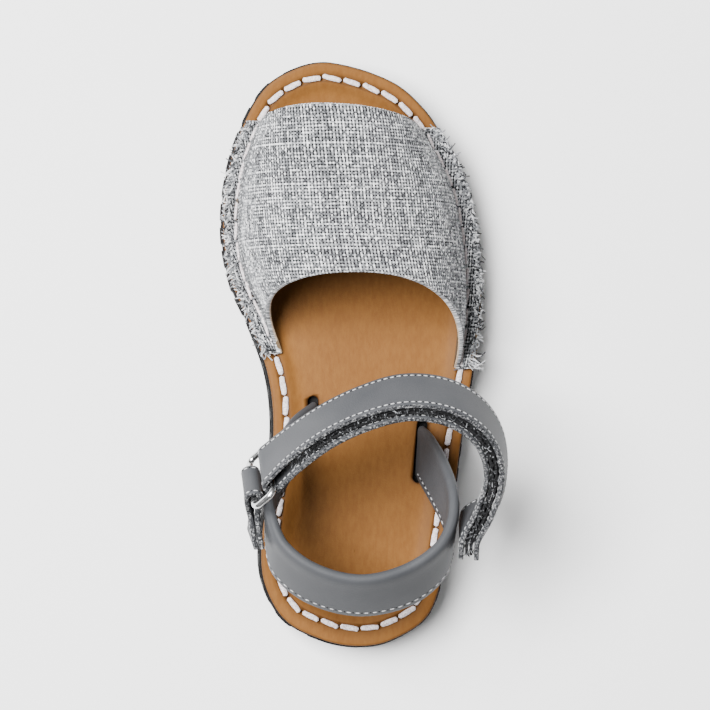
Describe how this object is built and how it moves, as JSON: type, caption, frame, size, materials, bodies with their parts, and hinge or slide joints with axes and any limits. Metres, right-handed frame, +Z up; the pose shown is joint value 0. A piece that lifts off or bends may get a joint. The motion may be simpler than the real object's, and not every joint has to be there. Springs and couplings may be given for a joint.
{
  "type": "avarca sandal",
  "caption": "Child's right avarca sandal: open cloth vamp hand-sewn to a leather insole, padded heel strap, instep strap through a ring, rubber sole.",
  "frame": {"origin": "on the floor, at the middle of the heel's flat tread", "axes": "+Y to the toe, +X to the wearer's right, which is the outer side of this right shoe, +Z up"},
  "size_m": [0.0711, 0.1509, 0.0619],
  "materials": {
    "outsole_rubber": "matt black moulded rubber",
    "insole_leather": "smooth natural tan leather",
    "vamp_cloth": "plain-woven grey linen with a tan lining",
    "strap_leather": "satin grey leather",
    "fastening_strip": "dark hook and loop tape",
    "ring_steel": "polished wire"
  },
  "bodies": {
    "root": {"outsole": "outsole_rubber", "insole": "insole_leather", "vamp": "vamp_cloth", "heel_strap": "strap_leather", "instep_strap": "strap_leather", "loop_strip": "fastening_strip", "hook_strip": "fastening_strip", "ring": "ring_steel", "ring_keeper": "strap_leather"}
  },
  "joints": []
}
